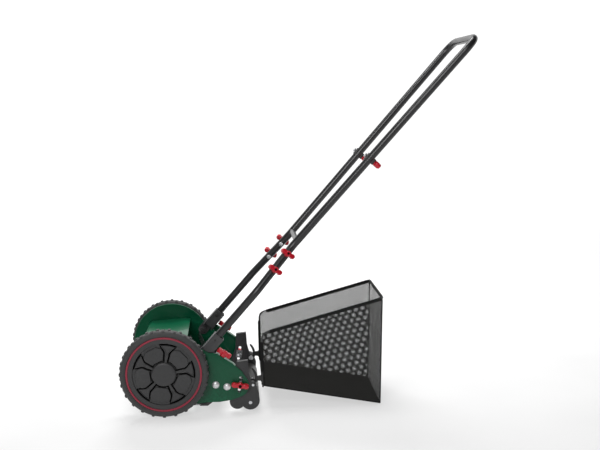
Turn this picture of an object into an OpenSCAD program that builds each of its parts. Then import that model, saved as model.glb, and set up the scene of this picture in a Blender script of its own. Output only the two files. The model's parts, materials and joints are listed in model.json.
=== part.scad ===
// Push reel mower with a rear roller, a three-piece handle and a mesh grass bag.
// Millimetres. +X points to the rear, +Y to the right-hand side, +Z up.
// Sizes along X are counted from the wheel axle, and heights from the ground.

/* [Wheels] */
// Radius of a wheel over its tread lugs
wheel_r = 125; // [115:1:135]
// Width of a tyre
tyre_w = 32; // [26:1:36]
// Distance between the outer faces of the two tyres
track_w = 436; // [420:2:460]
// Number of tread lugs in each of the two rows
lug_count = 24; // [20:4:32]
// Height of a tread lug
lug_h = 3.5; // [2:0.5:5]

/* [Drive gears] */
// Module of the gear teeth
gear_module = 2.5; // [2.5:0.5:2.5]
// Teeth of the internal gear in each wheel
ring_teeth = 72; // [72:1:72]
// Teeth of each pinion on the reel shaft
pinion_teeth = 12; // [12:1:12]
// Direction from the wheel axle to the reel shaft, in degrees below the horizontal
reel_drop_deg = 29.93; // [26:0.01:32]

/* [Cutting reel] */
// Radius of the reel over its blades
reel_r = 70; // [66:1:72]
// Cutting width
cut_w = 318; // [300:2:320]
// Number of helical blades
blade_count = 5; // [4:1:6]
// Twist of a blade from end to end, in degrees
blade_twist = 62; // [40:1:70]
// Gap between a blade and the bed knife
knife_gap = 0.5; // [0.3:0.1:1]

/* [Side plates] */
// Radius of the round part of a side plate
plate_disc_r = 117; // [112:1:118]
// Thickness of the sheet steel
plate_t = 3; // [2:0.5:3]

/* [Rear roller] */
// Radius of the roller
roller_r = 27; // [24:1:28]
// Distance of the roller axle behind the wheel axle
roller_x = 241; // [236:1:246]
// Lean of the height slot from the vertical, in degrees
slot_lean = 8; // [0:1:10]

/* [Handle] */
// Angle of the handle from the ground, in degrees
handle_deg = 49.03; // [45:0.01:55]
// Length of the handle from its pivot to the top bar
handle_len = 1184; // [1100:2:1220]
// Outer radius of the handle tubes
tube_r = 11; // [10:0.5:11]
// Half of the handle's width at its narrowest place
waist_half = 106; // [100:0.5:112]
// Outward slope of the upper legs, sideways per unit of length
leg_slope = 0.0585; // [0.04:0.0005:0.065]

/* [Grass bag] */
// Half of the bag's width
bag_half = 136; // [126:1:142]
// Radius of the bag's frame wire
wire_r = 2.5; // [2:0.5:3]

/* [Hidden] */
$fn = 64;
eps = 0.05;
fit = 0.05;

// Sideways places, all as distances from the middle plane
tyre_out = track_w / 2;
tyre_in = tyre_out - tyre_w;
plate_in = 176;
plate_out = plate_in + plate_t;
gear_in = tyre_in + 1;
gear_out = gear_in + 12;
blade_half = cut_w / 2;
bracket_in = 160;
bracket_out = 174;
lower_half = 160;
ear_in = 166.5;
ear_out = 172.5;

// Reel and gears
axle_z = wheel_r;
centre_dist = gear_module * (ring_teeth - pinion_teeth) / 2;
reel_x = centre_dist * cos(reel_drop_deg);
reel_z = axle_z - centre_dist * sin(reel_drop_deg);
shaft_r = 7;
pressure_deg = 20;
backlash_deg = 0.12;
rim_r = 104;
ring_out_r = 98.5;

// Cutter bar
bar_pivot = [175, 76];
bar_bolt = [143, 82];
knife_deg = 15;
knife_tip = [reel_x + (reel_r + knife_gap) * sin(knife_deg),
             reel_z - (reel_r + knife_gap) * cos(knife_deg)];
knife_t = 2.5;

// Flange on top of each side plate, with the knob that sets the cutter bar
flange_mid = [161.8, 162.2];
flange_deg = 32.8;
screw_len = 78;

// Height adjustment
height_bolt = [212, 82];
slot_len = 48;
slot_w = 8.4;

// Bag
bag_pin = [248.5, 78];
bag_tf = [275, 219];
bag_tr = [622, 318];
bag_br = [619, 3];
bag_bf = [278, 62];
sheet_t = 2;

// Handle: along its own length, from the pivot
pivot_x = 99.2;
pivot_z = 160;
bend_low = 245;
bend_waist = 406;
seam_low = 297;
plug_low = 392;
seam_top = 715;
plug_top = 765;
crossbar_s = 424;
joint_low = 319;
joint_high = 375;
joint_top = 737;
tube_bend = 45;
top_bend = 45;
tube_wall = 1;
plug_r = tube_r - tube_wall - 0.1;
plug_bore = plug_r - 1.3;
bolt_r = 3;
splay_deg = atan((lower_half - waist_half) / (bend_waist - bend_low));

// Whole part: the origin is the middle of its footprint
bar_x = pivot_x + handle_len * cos(handle_deg);
axle_x = (wheel_r - bar_x - tube_r) / 2;

function slope_y(s) = lower_half - (s - bend_low) * tan(splay_deg);
function leg_y(s) = waist_half + (s - bend_waist) * leg_slope;

// ---------- placing ----------

module from_axle() translate([axle_x, 0, 0]) children();
module for_side(side) {
    if (side == "left") mirror([0, 1, 0]) children();
    else children();
}
module both_sides() {
    children();
    mirror([0, 1, 0]) children();
}
// A flat outline in X and Z, thick from y0 to y1
module slab(y0, y1) translate([0, y1, 0]) rotate([90, 0, 0]) linear_extrude(y1 - y0) children();
// A round bar along Y through the point p = [x, z]
module bar_y(p, r, y0, y1) translate([p.x, y1, p.y]) rotate([90, 0, 0]) cylinder(r = r, h = y1 - y0);
// An outline of [radius, y] points turned about the line along Y through p = [x, z]
module turned(p, points) translate([p.x, 0, p.y]) rotate([-90, 0, 0]) rotate_extrude() polygon(points);
// Handle frame: Z along the handle, X square to it and rearwards, Y sideways
module on_handle() {
    translate([axle_x + pivot_x, 0, pivot_z]) rotate([0, 90 - handle_deg, 0]) children();
}
// On the sloping joint of the right-hand tube: Z along the tube, Y outwards
module on_joint(s) translate([0, slope_y(s), s]) rotate([splay_deg, 0, 0]) children();
// On top of a side plate's flange: Z square to it
module on_flange() {
    translate([flange_mid.x, (ear_in + ear_out) / 2, flange_mid.y]) rotate([0, flange_deg, 0]) children();
}

// ---------- gear outlines ----------

function inv_deg(r, base) = tan(acos(base / r)) * 180 / PI - acos(base / r);
// Half of the angle that a tooth of an external gear covers at radius r
function half_tooth(r, teeth, slack) = let (base = gear_module * teeth * cos(pressure_deg) / 2)
    90 / teeth + slack + inv_deg(gear_module * teeth / 2, base) - inv_deg(max(r, base), base);
function polar(r, a) = [r * cos(a), r * sin(a)];
// Outline with a tooth centred on angle 0, through the radii in rs from root to tip
function gear_outline(teeth, rs, slack) = [
    for (i = [0 : teeth - 1]) each concat(
        [for (r = rs) polar(r, i * 360 / teeth - half_tooth(r, teeth, slack))],
        [for (k = [len(rs) - 1 : -1 : 0]) polar(rs[k], i * 360 / teeth + half_tooth(rs[k], teeth, slack))])
];

// ---------- tubes in the handle's plane ----------

function heading(p, q) = atan2(q.y - p.y, q.x - p.x);
function turn(pts, i) = (i == 0 || i == len(pts) - 1) ? 0
    : let (d = heading(pts[i], pts[i + 1]) - heading(pts[i - 1], pts[i]))
      d > 180 ? d - 360 : d < -180 ? d + 360 : d;
function set_back(pts, i, bend) = bend * tan(abs(turn(pts, i)) / 2);
// A round tube through points [sideways, along], with bends of one radius.
// The bends are a hair thicker, and the straight parts run a little way into them.
module bent_tube(pts, bend, r_out, r_in) rotate([90, 0, 90]) {
    for (i = [0 : len(pts) - 2]) {
        a = heading(pts[i], pts[i + 1]);
        before = set_back(pts, i, bend) - (i > 0 ? 0.5 : 0);
        after = set_back(pts, i + 1, bend) - (i < len(pts) - 2 ? 0.5 : 0);
        start = pts[i] + before * [cos(a), sin(a)];
        translate([start.x, start.y, 0]) rotate([0, 0, a]) rotate([0, 90, 0])
            linear_extrude(norm(pts[i + 1] - pts[i]) - before - after) ring(r_out, r_in);
    }
    for (i = [1 : 1 : len(pts) - 2]) {
        a = heading(pts[i - 1], pts[i]);
        left = turn(pts, i) > 0 ? 1 : -1;
        bend_start = pts[i] - set_back(pts, i, bend) * [cos(a), sin(a)];
        centre = bend_start + left * bend * [-sin(a), cos(a)];
        first = left > 0 ? a - 90 : a + 90 + turn(pts, i);
        translate([centre.x, centre.y, 0]) rotate([0, 0, first])
            rotate_extrude(angle = abs(turn(pts, i))) translate([bend, 0]) ring(r_out + 0.06, r_in - 0.06);
    }
}
module ring(r_out, r_in) difference() {
    circle(r = r_out);
    circle(r = r_in);
}
// A wire between two points in space, and the ball at a corner of a frame
module wire(p, q, r) {
    d = q - p;
    translate(p) rotate([0, acos(d.z / norm(d)), atan2(d.y, d.x)]) cylinder(r = r, h = norm(d), $fn = 32);
}
module ball(p, r) translate(p) sphere(r = r, $fn = 32);

// ---------- side plates and frame ----------

module slot_outline(length, width) {
    square([width, length - width], center = true);
    for (end = [-1, 1]) translate([0, end * (length - width) / 2]) circle(d = width);
}
module at_slot() translate(height_bolt) rotate(-slot_lean) children();

module plate_outline() {
    translate([0, axle_z]) circle(r = plate_disc_r, $fn = 96);
    translate([203, 79]) circle(r = 34);
    polygon([[60, 24], [117, 32], [154, 32], [188, 37.5], [212, 46], [203, 79], [231, 98],
             [217, 120], [191, 143], [145, 172.7], [124, 175], [96, 190], [0, axle_z]]);
}

module side_plate(side) {
    color([0.0, 0.30, 0.19]) from_axle() for_side(side) {
        difference() {
            union() {
                slab(plate_in, plate_out) plate_outline();
                turned([0, axle_z], [[plate_disc_r - 3, plate_in - 3], [plate_disc_r, plate_in - 3],
                                     [plate_disc_r, plate_in + 1], [plate_disc_r - 3, plate_in + 1]]);
            }
            bar_y([0, axle_z], 8 + fit, plate_in - 5, plate_out + 5);
            bar_y([reel_x, reel_z], 14, plate_in - 5, plate_out + 5);
            bar_y(bar_pivot, 4 + fit, plate_in - 5, plate_out + 5);
            bar_y(bar_bolt, 4 + fit, plate_in - 5, plate_out + 5);
            bar_y([pivot_x, pivot_z], 5 + fit, plate_in - 5, plate_out + 5);
            slab(plate_in - 5, plate_out + 5) at_slot() slot_outline(slot_len, slot_w + 0.6);
            // The bead stops where the plate runs on to the rear
            translate([60, plate_in - 4, 8]) cube([90, 4, 190]);
        }
        difference() {
            slab(ear_in - 9, plate_in + 1) polygon([[145, 172.7], [191, 143], [199, 135.9],
                [197, 133.5], [189.4, 140.5], [145, 169.1]]);
            on_flange() translate([0, 0, -10]) cylinder(r = bolt_r + 0.2, h = 20);
        }
    }
    // Stop under the handle bracket
    color([0.0, 0.30, 0.19]) on_handle() for_side(side) bar_y([23.8, 20], 5, bracket_in - 10, plate_in);
}
module side_plate_left() side_plate("left");
module side_plate_right() side_plate("right");

module reel_cover() color([0.0, 0.30, 0.19]) from_axle() {
    slab(-175.5, 175.5) polygon([[-74, 164], [-68, 184], [-58, 190], [44, 198], [60, 195],
        [59.4, 192.8], [44, 195.8], [-57.4, 187.9], [-66.2, 182.6], [-72, 163.6]]);
    both_sides() slab(173.5, 175.5) {
        polygon([[-52, 174], [-36, 174], [-36, 190.5], [-52, 189.2]]);
        polygon([[18, 178], [34, 178], [34, 196.2], [18, 195]]);
    }
}

module tie_rod() color([0.15, 0.15, 0.15]) from_axle() {
    bar_y([-58, 132], 6, -plate_in, plate_in);
}

module wheel_axle(side) color([0.72, 0.73, 0.75]) from_axle() for_side(side) {
    turned([0, axle_z], [[0, plate_in - 5], [18, plate_in - 5], [18, plate_in], [8, plate_in],
                         [8, tyre_out - 6], [7, tyre_out - 5], [0, tyre_out - 5]]);
}
module wheel_axle_left() wheel_axle("left");
module wheel_axle_right() wheel_axle("right");

module wheel_clips() color([0.72, 0.73, 0.75]) from_axle() both_sides() {
    turned([0, axle_z], [[8 + fit, tyre_out - 8.8], [13, tyre_out - 8.8], [13, tyre_out - 7.3],
                         [8 + fit, tyre_out - 7.3]]);
}

module reel_bearings() color([0.55, 0.56, 0.58]) from_axle() both_sides() {
    turned([reel_x, reel_z], [[shaft_r + fit, plate_in - 6], [19, plate_in - 6], [19, plate_in],
                              [13.98, plate_in], [13.98, plate_out + 1], [shaft_r + fit, plate_out + 1]]);
}

// Domed bolt through a side plate, with its nut on the inner side
module domed_bolt(p, r, y_nut) {
    bar_y(p, r, y_nut - 6, plate_out);
    intersection() {
        translate([p.x, plate_out - 8, p.y]) sphere(r = 13.2);
        bar_y(p, 10.4, plate_out, plate_out + 6);
    }
    translate([p.x, y_nut, p.y]) rotate([90, 0, 0]) cylinder(r = 7, h = 5, $fn = 6);
}
module cutter_bar_bolts() color([0.8, 0.8, 0.8]) from_axle() both_sides() {
    domed_bolt(bar_pivot, 4, ear_in - 0.4);
    domed_bolt(bar_bolt, 4, ear_in - 0.4);
}

module height_bolts() color([0.75, 0.75, 0.77]) from_axle() both_sides() {
    bar_y(height_bolt, 4, bracket_in - 3.3, plate_out + 17);
    bar_y(height_bolt, 7, bracket_in - 7.3, bracket_in - 3.3);
}

// Square washer with a key that guides the roller bracket along its slot
module height_clamp_plates() color([0.6, 0.6, 0.62]) from_axle() both_sides() difference() {
    union() {
        slab(bracket_in - 3.3, bracket_in - 0.3) at_slot() square([19, 24], center = true);
        slab(bracket_in - 0.5, plate_in) at_slot() square([slot_w - 0.4, 10], center = true);
    }
    bar_y(height_bolt, 4 + fit, bracket_in - 8, plate_in + 1);
}

module handle_pivot_bolts() color([0.7, 0.71, 0.73]) from_axle() both_sides() {
    bar_y([pivot_x, pivot_z], 5, plate_in - 6, plate_out + 3.5);
    bar_y([pivot_x, pivot_z], 9, plate_in - 9.5, plate_in - 5.9);
    bar_y([pivot_x, pivot_z], 8, plate_out, plate_out + 3.5);
}

// ---------- wheels ----------

module tyre(side) color([0.16, 0.16, 0.16]) from_axle() for_side(side) {
    carcass_r = wheel_r - lug_h;
    turned([0, axle_z], [[rim_r, tyre_in + 2], [rim_r + 4, tyre_in], [carcass_r - 4, tyre_in],
                         [carcass_r, tyre_in + 4], [carcass_r, tyre_out - 4], [carcass_r - 4, tyre_out],
                         [rim_r + 3.5, tyre_out], [rim_r + 2, tyre_out - 2], [rim_r, tyre_out - 2]]);
    for (i = [0 : lug_count - 1]) {
        translate([0, 0, axle_z]) rotate([0, i * 360 / lug_count, 0])
            translate([-4.5, tyre_out - 17.5, -wheel_r]) cube([9, 16, lug_h + 2]);
        translate([0, 0, axle_z]) rotate([0, (i + 0.5) * 360 / lug_count, 0])
            translate([-4.5, tyre_in + 1.5, -wheel_r]) cube([9, 16, lug_h + 2]);
    }
}
module tyre_left() tyre("left");
module tyre_right() tyre("right");

module wheel_hub(side) color([0.22, 0.22, 0.22]) from_axle() for_side(side) {
    face = tyre_out - 7;
    turned([0, axle_z], [[8 + fit, gear_in], [20, gear_in], [20, gear_out + 4], [ring_out_r, gear_out + 4],
                         [ring_out_r, gear_in], [rim_r - 0.05, gear_in], [rim_r - 0.05, tyre_out - 2],
                         [88, tyre_out - 2], [84, face], [30, face], [30, face - 3], [8 + fit, face - 3]]);
    for (i = [0 : 4]) slab(face - 0.5, tyre_out + 1) translate([0, axle_z]) rotate(45 + 72 * i)
        polygon([[36, -12], [48, -22], [75, -22], [75, 22], [48, 22], [36, 12]]);
}
module wheel_hub_left() wheel_hub("left");
module wheel_hub_right() wheel_hub("right");

module trim_ring(side) color([0.60, 0.12, 0.18]) from_axle() for_side(side) {
    turned([0, axle_z], [[100.6, tyre_out - 2], [105.9, tyre_out - 2], [105.9, tyre_out - 0.2],
                         [105.2, tyre_out + 0.5], [101.3, tyre_out + 0.5], [100.6, tyre_out - 0.2]]);
}
module trim_ring_left() trim_ring("left");
module trim_ring_right() trim_ring("right");

module hub_cap(side) color([0.22, 0.22, 0.22]) from_axle() for_side(side) {
    turned([0, axle_z], [[22, tyre_out - 7], [34, tyre_out - 7], [34, tyre_out + 0.5], [30, tyre_out + 2],
                         [0, tyre_out + 2], [0, tyre_out - 1], [28, tyre_out - 1], [28, tyre_out - 5],
                         [22, tyre_out - 5]]);
}
module hub_cap_left() hub_cap("left");
module hub_cap_right() hub_cap("right");

module ring_gear(side) {
    pitch = gear_module * ring_teeth / 2;
    color([0.5, 0.5, 0.52]) from_axle() for_side(side)
        slab(gear_in, gear_out) translate([0, axle_z]) rotate(-reel_drop_deg) difference() {
            circle(r = ring_out_r - 0.05, $fn = 96);
            polygon(gear_outline(ring_teeth, [pitch - 1.5, pitch, pitch + 3], backlash_deg));
        }
}
module ring_gear_left() ring_gear("left");
module ring_gear_right() ring_gear("right");

// ---------- reel ----------

module reel_shaft() color([0.7, 0.71, 0.73]) from_axle() difference() {
    bar_y([reel_x, reel_z], shaft_r, -gear_out - 1.5, gear_out + 1.5);
    both_sides() translate([reel_x, gear_in + 2, reel_z]) rotate([0, reel_drop_deg, 0])
        translate([-20, 0, -2.5]) cube([40, 8, 5]);
}

// Keys that lie in the shaft inside each pinion and let the reel run on
module drive_pawls() color([0.6, 0.6, 0.62]) from_axle() both_sides() {
    translate([reel_x, gear_in + 2, reel_z]) rotate([0, reel_drop_deg, 0])
        translate([-6.4, 0, -2.5]) cube([12.8, 8, 5]);
}

module reel_spiders() color([0.12, 0.12, 0.12]) from_axle() {
    for (k = [-2 : 2]) {
        y = k * (blade_half - 6) / 2;
        difference() {
            union() {
                bar_y([reel_x, reel_z], 24, y - 2, y + 2);
                for (i = [0 : blade_count - 1])
                    translate([reel_x, y, reel_z])
                        rotate([0, -i * 360 / blade_count - blade_twist * y / cut_w, 0])
                        translate([10, -2, -9]) cube([reel_r - 22.2, 4, 18]);
            }
            bar_y([reel_x, reel_z], shaft_r + 0.02, y - 3, y + 3);
        }
    }
}

module reel_blades() color([0.55, 0.56, 0.58]) from_axle() translate([reel_x, 0, reel_z]) rotate([90, 0, 0]) {
    linear_extrude(cut_w, center = true, twist = blade_twist, slices = 30, $fn = 4)
        for (i = [0 : blade_count - 1]) rotate(i * 360 / blade_count) translate([reel_r - 12, -1.5]) square([12, 3]);
}

module pinion(side) {
    pitch = gear_module * pinion_teeth / 2;
    color([0.5, 0.5, 0.52]) from_axle() for_side(side)
        slab(gear_in, gear_out) translate([reel_x, reel_z]) rotate(-reel_drop_deg) difference() {
            polygon(gear_outline(pinion_teeth, [pitch - 2.6, pitch - 0.8, pitch + 0.6, pitch + 2], -0.7));
            circle(r = shaft_r + fit);
        }
}
module pinion_left() pinion("left");
module pinion_right() pinion("right");

// ---------- cutter bar ----------

module knife_carrier() color([0.1, 0.1, 0.1]) from_axle() {
    slab(-ear_out, ear_out) polygon([[98, knife_tip.y], [120, knife_tip.y], [158, 48], [166, 60],
        [158, 66], [148, 54], [114, 27], [98, 23.4]]);
    both_sides() difference() {
        slab(ear_in, ear_out) polygon([[118, 30], [150, 40], [172, 62], [184, 68], [187, 79], [176, 87],
            [150, 93], [136, 98], [125, 94.2], [113.5, 93.2], [111, 88], [128, 76], [140, 60], [114, 36]]);
        bar_y(bar_pivot, 4 + fit, ear_in - 1, ear_out + 1);
        bar_y(bar_bolt, 6.5, ear_in - 1, ear_out + 1);
    }
}

module bed_knife() color([0.62, 0.63, 0.65]) from_axle() difference() {
    slab(-blade_half, blade_half) polygon([knife_tip, [knife_tip.x + 5, knife_tip.y - knife_t],
        [120, knife_tip.y - knife_t], [120, knife_tip.y]]);
    knife_holes(bolt_r + fit);
}
module knife_holes(r) for (y = [-140 : 70 : 140])
    translate([109, y, knife_tip.y - knife_t - 1]) cylinder(r = r, h = knife_t + 2);

module knife_screws() color([0.75, 0.75, 0.77]) from_axle() for (y = [-140 : 70 : 140]) {
    translate([109, y, knife_tip.y - knife_t]) cylinder(r = bolt_r, h = knife_t);
    translate([109, y, knife_tip.y - knife_t - 2]) cylinder(r = 5, h = 2);
}

// ---------- knobs ----------

// Two-winged knob standing on Z = 0, wings along X, with a clear hole for its bolt
module wing_knob(span, height) color([0.75, 0.05, 0.10]) difference() {
    union() {
        cylinder(r = 8.5, h = height - 3);
        cylinder(r = 7, h = height);
        for (end = [-1, 1]) translate([end * (span / 2 - 6), 0, 4]) cylinder(r = 6, h = height - 4);
        translate([-span / 2 + 6, -6, 4]) cube([span - 12, 12, height - 4]);
    }
    translate([0, 0, -1]) cylinder(r = bolt_r + fit, h = height + 2);
}

module adjuster_knob(side) from_axle() for_side(side) on_flange() translate([0, 0, 0.3]) wing_knob(44, 18);
module adjuster_screw(side) color([0.7, 0.71, 0.73]) from_axle() for_side(side) on_flange()
    translate([0, 0, -screw_len]) cylinder(r = bolt_r, h = screw_len + 16);
module adjuster_knob_left() adjuster_knob("left");
module adjuster_knob_right() adjuster_knob("right");
module adjuster_screw_left() adjuster_screw("left");
module adjuster_screw_right() adjuster_screw("right");

module height_knob(side) from_axle() for_side(side) {
    translate([height_bolt.x, plate_out + 0.3, height_bolt.y]) rotate([-90, 8, 0]) difference() {
        wing_knob(50, 20);
        translate([0, 0, -1]) cylinder(r = 4 + fit, h = 22);
    }
}
module height_knob_left() height_knob("left");
module height_knob_right() height_knob("right");

// ---------- roller carriage ----------

module roller_bracket(side) color([0.14, 0.14, 0.14]) from_axle() for_side(side) difference() {
    union() {
        slab(bracket_in, bracket_out) polygon([[202.5, 146.5], [234, 150], [236.9, 111.4],
            [243, 88], [256.2, 80], [265, 55], [264.3, 32], [241, 26], [204, 26], [182.4, 33], [188, 62],
            [200, 100]]);
        bar_y([roller_x, 31], 24, bracket_in, bracket_out);
        bar_y([204, 31], 22, bracket_in, bracket_out);
        bar_y(bag_pin, 8, bracket_in - 4, bracket_out - 2);
    }
    slab(bracket_in - 1, bracket_out + 1) at_slot() slot_outline(slot_len, slot_w);
    bar_y([roller_x, roller_r], 5 + 0.02, bracket_in - 1, bracket_out + 1);
    bar_y(bag_pin, 4 + 0.02, bracket_in - 5, bracket_out + 1);
}
module roller_bracket_left() roller_bracket("left");
module roller_bracket_right() roller_bracket("right");

module roller_axle() color([0.7, 0.71, 0.73]) from_axle() {
    bar_y([roller_x, roller_r], 5, -bracket_out - 0.5, bracket_out + 0.5);
}

module bag_pins() color([0.75, 0.75, 0.77]) from_axle() both_sides() {
    bar_y(bag_pin, 4, 124, bracket_out);
    bar_y(bag_pin, 7, 121, 124);
}

module rear_roller() color([0.1, 0.1, 0.1]) from_axle() difference() {
    turned([roller_x, roller_r], [[5 + fit, -158], [roller_r - 3, -158], [roller_r, -155], [roller_r, 155],
                                  [roller_r - 3, 158], [5 + fit, 158]]);
}

// ---------- grass bag ----------

function side_point(p, side) = [p.x, side * bag_half, p.y];
module bag_uprights(r) for (side = [-1, 1])
    wire(side_point(bag_bf, side), side_point(bag_tf, side), r);

module bag_frame() color([0.05, 0.05, 0.05]) from_axle() {
    bag_uprights(wire_r);
    for (side = [-1, 1]) {
        wire(side_point(bag_tf, side), side_point(bag_tr, side), wire_r);
        for (p = [bag_bf, bag_tf, bag_tr]) ball(side_point(p, side), wire_r + 0.3);
    }
    for (p = [bag_bf, bag_tf, bag_tr])
        wire(side_point(p, -1), side_point(p, 1), wire_r);
}

// The cloth stays clear of the wires by half a millimetre
sheet_half = bag_half - wire_r - 0.8;
module bag_mesh() color([0.35, 0.35, 0.36]) from_axle() {
    both_sides() slab(sheet_half - sheet_t, sheet_half)
        polygon([bag_bf + [1, 3.4], bag_br + [0, 3.4], bag_tr + [-0.2, -3.4], bag_tf + [1, -3.4]]);
    slab(-sheet_half + 1, sheet_half - 1)
        polygon([bag_br + [0, 3.4], bag_tr + [-0.2, -3.4], bag_tr + [-2.2, -3.97], bag_br + [-sheet_t, 3.4]]);
}

module bag_floor() color([0.08, 0.08, 0.08]) from_axle() {
    slab(-bag_half, bag_half) polygon([bag_bf + [6, 2.4], bag_br + [0, 3], bag_br + [0, 1], bag_bf + [6, 0.4]]);
}

// Hooks on the bag's front wires that hang over the pins
module bag_hooks() color([0.05, 0.05, 0.05]) from_axle() both_sides() difference() {
    slab(134.5, 140) difference() {
        union() {
            translate(bag_pin) circle(r = 8.5);
            polygon([[244.8, 116], [247.5, 118.8], [253, 114], [257.5, 107.5], [260.4, 100.5], [262, 92.5],
                     [262, 78], [254, 78], [254.6, 92], [253, 100], [250.2, 107]]);
            polygon([[254, 82], [272, 80], [272, 96], [261, 94]]);
            polygon([[271, 80], [278.6, 68], [278.6, 108], [271, 96]]);
        }
        translate(bag_pin) circle(r = 4 + fit);
        polygon([bag_pin, [223, 71], [239, 57]]);
    }
    bag_uprights(wire_r + 0.2);
}

// ---------- handle ----------

module handle_bracket(side) color([0.25, 0.25, 0.26]) on_handle() for_side(side) difference() {
    union() {
        translate([-13, lower_half - 13, 17]) cube([31.5, 26, 64]);
        slab(lower_half + 10.5, lower_half + 13) {
            circle(r = 15);
            translate([-15, 0]) square([30, 30]);
        }
    }
    translate([-11.3, lower_half - 11, 24]) cube([28, 22, 80]);
    translate([-11.3, lower_half - 14, 14]) cube([28, 24.5, 10.2]);
    bar_y([0, 0], 5 + fit, lower_half + 5, lower_half + 15);
    translate([0, 0, 66]) bar_y([0, 0], bolt_r + fit, lower_half - 20, lower_half + 20);
}
module handle_bracket_left() handle_bracket("left");
module handle_bracket_right() handle_bracket("right");

module joint_holes(r) for (s = [joint_low, joint_high]) on_joint(s) bar_y([0, 0], r, -30, 30);

module lower_tube(side) color([0.06, 0.06, 0.06]) on_handle() for_side(side) difference() {
    union() {
        bent_tube([[lower_half, 24.5], [lower_half, bend_low], [slope_y(seam_low), seam_low]],
                  tube_bend, tube_r - 0.05, plug_bore + 0.2);
        bent_tube([[slope_y(seam_low - 6), seam_low - 6], [slope_y(plug_low), plug_low]],
                  tube_bend, plug_r, plug_bore);
    }
    joint_holes(bolt_r + fit);
    translate([0, 0, 66]) bar_y([0, 0], bolt_r + fit, lower_half - 20, lower_half + 20);
}
module lower_tube_left() lower_tube("left");
module lower_tube_right() lower_tube("right");

module middle_handle() color([0.06, 0.06, 0.06]) on_handle() difference() {
    union() {
        both_sides() {
            bent_tube([[slope_y(seam_low + 0.3), seam_low + 0.3], [waist_half, bend_waist],
                       [leg_y(seam_top), seam_top]], tube_bend, tube_r, tube_r - tube_wall);
            bent_tube([[leg_y(seam_top - 20), seam_top - 20], [leg_y(seam_top - 1), seam_top - 1]],
                      tube_bend, plug_r + 0.4, plug_bore);
            bent_tube([[leg_y(seam_top - 5), seam_top - 5], [leg_y(plug_top), plug_top]],
                      tube_bend, plug_r, plug_bore + 0.15);
        }
        difference() {
            translate([0, 0, crossbar_s]) bar_y([0, 0], 8, -leg_y(crossbar_s), leg_y(crossbar_s));
            both_sides() translate([0, leg_y(crossbar_s - 20), crossbar_s - 20])
                rotate([-atan(leg_slope), 0, 0]) cylinder(r = tube_r - 0.5, h = 40);
        }
    }
    both_sides() {
        joint_holes(bolt_r + fit);
        top_hole();
    }
}
module top_hole() translate([-30, leg_y(joint_top), joint_top]) rotate([0, 90, 0]) cylinder(r = bolt_r + fit, h = 60);

module upper_handle() color([0.06, 0.06, 0.06]) on_handle() difference() {
    bent_tube([[leg_y(seam_top + 0.3), seam_top + 0.3], [leg_y(handle_len), handle_len],
               [-leg_y(handle_len), handle_len], [-leg_y(seam_top + 0.3), seam_top + 0.3]],
              top_bend, tube_r, tube_r - tube_wall);
    both_sides() top_hole();
}

// Curved seats for the bolt head and the knob at each upper joint
module joint_saddles() color([0.1, 0.1, 0.1]) on_handle() both_sides() difference() {
    translate([0, leg_y(joint_top), joint_top]) {
        translate([-15, -8, -11]) cube([10, 16, 22]);
        translate([5, -8, -9]) cube([11, 16, 18]);
    }
    translate([0, leg_y(joint_top), joint_top]) rotate([-atan(leg_slope), 0, 0])
        translate([0, 0, -20]) cylinder(r = tube_r + fit, h = 40);
    top_hole();
}

module handle_bolts() color([0.78, 0.78, 0.8]) on_handle() both_sides() {
    for (s = [joint_low, joint_high]) on_joint(s) {
        bar_y([0, 0], bolt_r, -tube_r - 1, tube_r + 17);
        bar_y([0, 0], 6.5, -tube_r - 4, -tube_r - 0.6);
    }
    translate([0, 0, 66]) {
        bar_y([0, 0], bolt_r, lower_half - 13.5, lower_half + 13);
        bar_y([0, 0], 5.5, lower_half - 15.2, lower_half - 13.05);
    }
    translate([0, leg_y(joint_top), joint_top]) rotate([0, 90, 0]) {
        translate([0, 0, -16]) cylinder(r = bolt_r, h = 48);
        translate([0, 0, -18.5]) cylinder(r = 6, h = 3.5);
    }
}

module joint_knob(side, s, tilt) on_handle() for_side(side) on_joint(s)
    translate([0, tube_r + 0.6, 0]) rotate([-90, 0, 0]) rotate(tilt) wing_knob(44, 20);
module joint_knob_left_lower() joint_knob("left", joint_low, 6);
module joint_knob_left_upper() joint_knob("left", joint_high, 6);
module joint_knob_right_lower() joint_knob("right", joint_low, 6);
module joint_knob_right_upper() joint_knob("right", joint_high, 6);

module top_knob(side) on_handle() for_side(side)
    translate([16.3, leg_y(joint_top), joint_top]) rotate([0, 90, 0]) rotate(90) wing_knob(44, 20);
module top_knob_left() top_knob("left");
module top_knob_right() top_knob("right");

side_plate_left();
side_plate_right();
reel_cover();
tie_rod();
wheel_axle_left();
wheel_axle_right();
wheel_clips();
reel_bearings();
cutter_bar_bolts();
height_bolts();
height_clamp_plates();
handle_pivot_bolts();
tyre_left();
wheel_hub_left();
trim_ring_left();
hub_cap_left();
ring_gear_left();
tyre_right();
wheel_hub_right();
trim_ring_right();
hub_cap_right();
ring_gear_right();
reel_shaft();
reel_spiders();
reel_blades();
pinion_left();
drive_pawls();
pinion_right();
knife_carrier();
bed_knife();
knife_screws();
adjuster_knob_left();
adjuster_screw_left();
adjuster_knob_right();
adjuster_screw_right();
height_knob_left();
height_knob_right();
roller_bracket_left();
roller_bracket_right();
roller_axle();
bag_pins();
rear_roller();
bag_frame();
bag_mesh();
bag_floor();
bag_hooks();
handle_bracket_left();
handle_bracket_right();
lower_tube_left();
lower_tube_right();
middle_handle();
upper_handle();
joint_saddles();
handle_bolts();
joint_knob_left_lower();
joint_knob_left_upper();
joint_knob_right_lower();
joint_knob_right_upper();
top_knob_left();
top_knob_right();
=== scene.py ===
import json
import math

import bmesh
import bpy
import numpy as np
from mathutils import Matrix, Vector


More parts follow.
